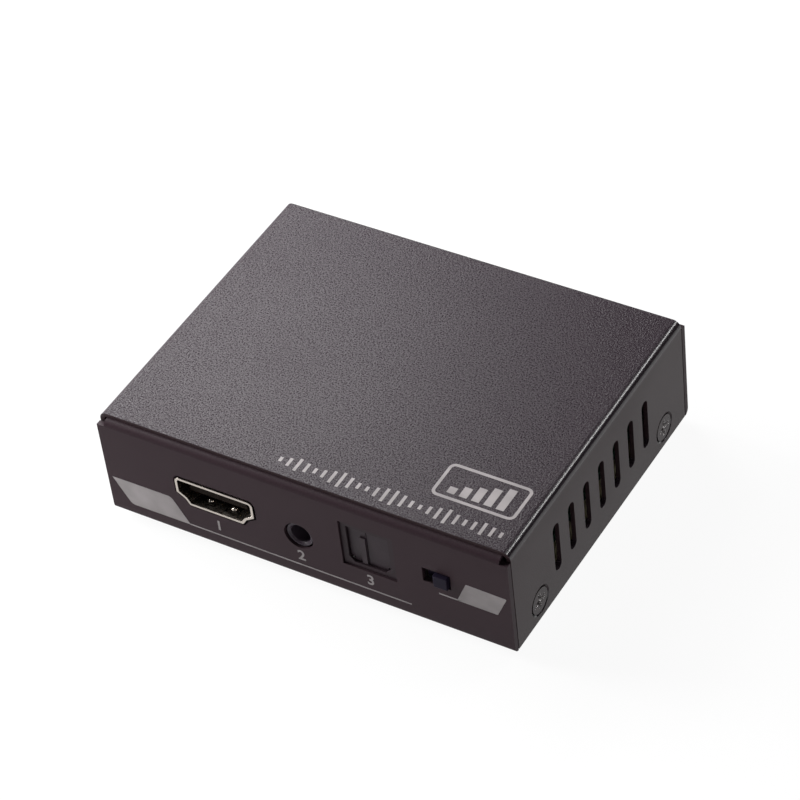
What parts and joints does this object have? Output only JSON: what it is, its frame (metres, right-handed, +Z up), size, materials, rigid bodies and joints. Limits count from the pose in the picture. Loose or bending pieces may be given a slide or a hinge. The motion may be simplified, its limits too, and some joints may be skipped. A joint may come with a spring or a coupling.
{
  "type": "hdmi audio extractor",
  "caption": "Small vented metal box that splits the sound off a digital video signal, with video, optical, audio and power sockets and slide switches.",
  "frame": {"origin": "on the supporting surface, under the middle of the case", "axes": "+X to the right along the front panel, +Y from the front panel to the rear panel, +Z up"},
  "size_m": [0.0764, 0.0622, 0.0229],
  "materials": {
    "tray_paint": "black powder coat, fine grain",
    "cover_paint": "black powder coat, fine grain",
    "black_screw": "black oxide, satin",
    "foot_rubber": "matt black rubber",
    "plated_steel": "zinc plated",
    "port_plating": "bright nickel plate",
    "contact_gold": "gold plated",
    "tinned_metal": "tin plated",
    "board_green": "green solder mask",
    "insulator_black": "black moulded plastic",
    "jack_plastic": "black moulded plastic",
    "optical_plastic": "black moulded plastic",
    "door_plastic": "black moulded plastic",
    "knob_plastic": "black moulded plastic",
    "base_laminate": "brown laminate",
    "sheet_film": "clear to cream film",
    "chip_black": "black moulded epoxy",
    "pad_grey": "soft grey pad",
    "sink_aluminium": "satin",
    "can_aluminium": "bright",
    "ferrite": "pressed ferrite",
    "ceramic": "fired ceramic",
    "emitter_clear": "tinted resin",
    "lamp_resin": "clear resin",
    "printed_ink": "pale grey screen print"
  },
  "bodies": {
    "case": {"tray": "tray_paint", "cover": "cover_paint", "cover_screws": "black_screw", "rubber_feet": "foot_rubber", "standoffs": "plated_steel", "insulating_sheet": "sheet_film", "circuit_board": "board_green", "board_screws": "plated_steel", "video_out_shell": "port_plating", "video_out_insulator": "insulator_black", "video_out_contacts": "contact_gold", "video_in_shell": "port_plating", "video_in_insulator": "insulator_black", "video_in_contacts": "contact_gold", "audio_jack_body": "jack_plastic", "audio_jack_contacts": "tinned_metal", "optical_housing": "optical_plastic", "optical_door_springs": "tinned_metal", "optical_emitter": "emitter_clear", "optical_leads": "tinned_metal", "optical_rear_cap": "optical_plastic", "source_switch_frame": "plated_steel", "source_switch_base": "base_laminate", "source_switch_terminals": "tinned_metal", "mode_switch_frame": "plated_steel", "mode_switch_base": "base_laminate", "mode_switch_terminals": "tinned_metal", "power_jack_body": "jack_plastic", "power_jack_pin": "port_plating", "power_jack_contacts": "tinned_metal", "power_lamp": "lamp_resin", "lamp_holder": "insulator_black", "lamp_leads": "tinned_metal", "main_chip": "chip_black", "thermal_pad": "pad_grey", "heat_sink": "sink_aluminium", "audio_chip": "chip_black", "control_chip": "chip_black", "chip_leads": "tinned_metal", "crystal_can": "tinned_metal", "bulk_capacitors": "can_aluminium", "capacitor_bases": "insulator_black", "power_inductor": "ferrite", "voltage_regulator": "chip_black", "regulator_leads": "tinned_metal", "small_parts": "ceramic"},
    "source_slider": {"source_switch_slider": "knob_plastic", "source_switch_wiper": "contact_gold"},
    "mode_slider": {"mode_switch_slider": "knob_plastic", "mode_switch_wiper": "contact_gold"},
    "left_door": {"optical_left_door": "door_plastic"},
    "right_door": {"optical_right_door": "door_plastic"}
  },
  "joints": [
    {"name": "source_switch_slide", "type": "slide", "parent": "case", "child": "source_slider", "axis": [1, 0, 0], "range_m": [-0.002, 0]},
    {"name": "mode_switch_slide", "type": "slide", "parent": "case", "child": "mode_slider", "axis": [1, 0, 0], "range_m": [-0.0015, 0.0015]},
    {"name": "left_door_hinge", "type": "hinge", "parent": "case", "child": "left_door", "pos_m": [0.00875, -0.02915, 0.0133], "axis": [0, 0, 1], "range_deg": [0, 85], "stiffness_Nm_per_rad": 0.0001, "springref_deg": -17.19},
    {"name": "right_door_hinge", "type": "hinge", "parent": "case", "child": "right_door", "pos_m": [0.01605, -0.02915, 0.0133], "axis": [0, 0, -1], "range_deg": [0, 85], "stiffness_Nm_per_rad": 0.0001, "springref_deg": -17.19}
  ]
}
